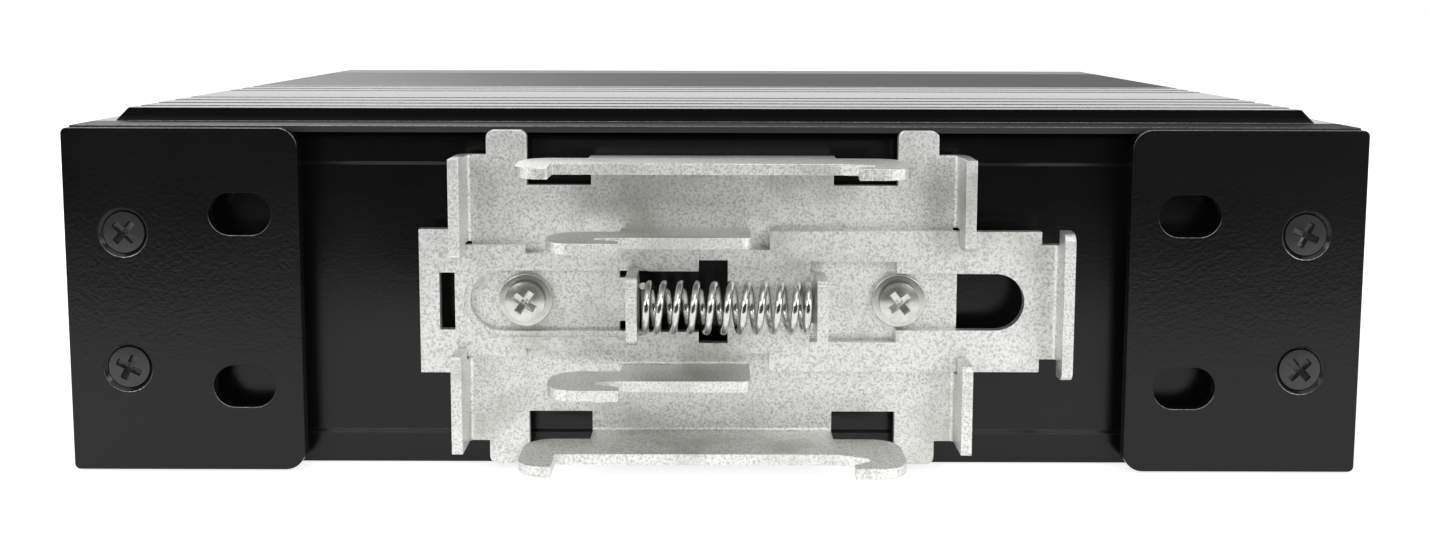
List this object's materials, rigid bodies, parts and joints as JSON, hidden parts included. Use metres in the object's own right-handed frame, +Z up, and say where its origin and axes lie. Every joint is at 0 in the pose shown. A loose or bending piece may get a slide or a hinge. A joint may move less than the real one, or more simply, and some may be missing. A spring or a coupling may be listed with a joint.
{
  "type": "din rail ethernet switch",
  "caption": "Slim black metal network switch lying on its side, with a sprung metal rail clip and two mounting ears on its rear wall.",
  "frame": {"origin": "middle of the case's underside, as it lies on its large side", "axes": "+X along the case's long side, +Y from the rail clip to the ports, +Z up through the ribbed lid"},
  "size_m": [0.1574, 0.1443, 0.0442],
  "materials": {
    "case_paint": "fine satin powder coat",
    "lid_anodised": "dark ribbed satin",
    "ear_paint": "fine grained powder coat",
    "black_screw": "black oxide",
    "clip_zinc": "bright zinc plate",
    "spring_steel": "bright wire",
    "bright_steel": "bright plated",
    "board_green": "solder mask",
    "socket_shell": "tinned shell",
    "chip_black": "moulded",
    "clear_pipe": "clear moulding",
    "terminal_green": "moulded",
    "sink_aluminium": "extruded",
    "capacitor_sleeve": "shrink sleeve"
  },
  "bodies": {
    "switch": {"chassis": "case_paint", "top_cover": "lid_anodised", "front_panel": "case_paint", "ear_left": "ear_paint", "ear_right": "ear_paint", "ear_screws": "black_screw", "front_screws": "black_screw", "cover_screws_left": "black_screw", "cover_screws_right": "black_screw", "clip_base": "clip_zinc", "clip_spring": "spring_steel", "clip_screws": "bright_steel", "clip_spacers": "bright_steel", "clip_nuts": "bright_steel", "circuit_board": "board_green", "board_standoffs": "bright_steel", "board_screws": "bright_steel", "jack_block_left": "socket_shell", "jack_block_right": "socket_shell", "magnetics": "chip_black", "light_pipes": "clear_pipe", "terminal_socket": "terminal_green", "terminal_plug": "terminal_green", "terminal_screws": "bright_steel", "switch_chip": "chip_black", "chip_heatsink": "sink_aluminium", "capacitors": "capacitor_sleeve", "power_inductor": "chip_black", "earth_screw": "bright_steel", "earth_washer": "bright_steel"},
    "slider": {"clip_slider": "clip_zinc"}
  },
  "joints": [
    {"name": "clip_slide", "type": "slide", "parent": "switch", "child": "slider", "axis": [-1, 0, 0], "range_m": [0, 0.008], "stiffness_N_per_m": 4000, "springref_m": -0.003, "deforming": ["clip_spring"]}
  ]
}
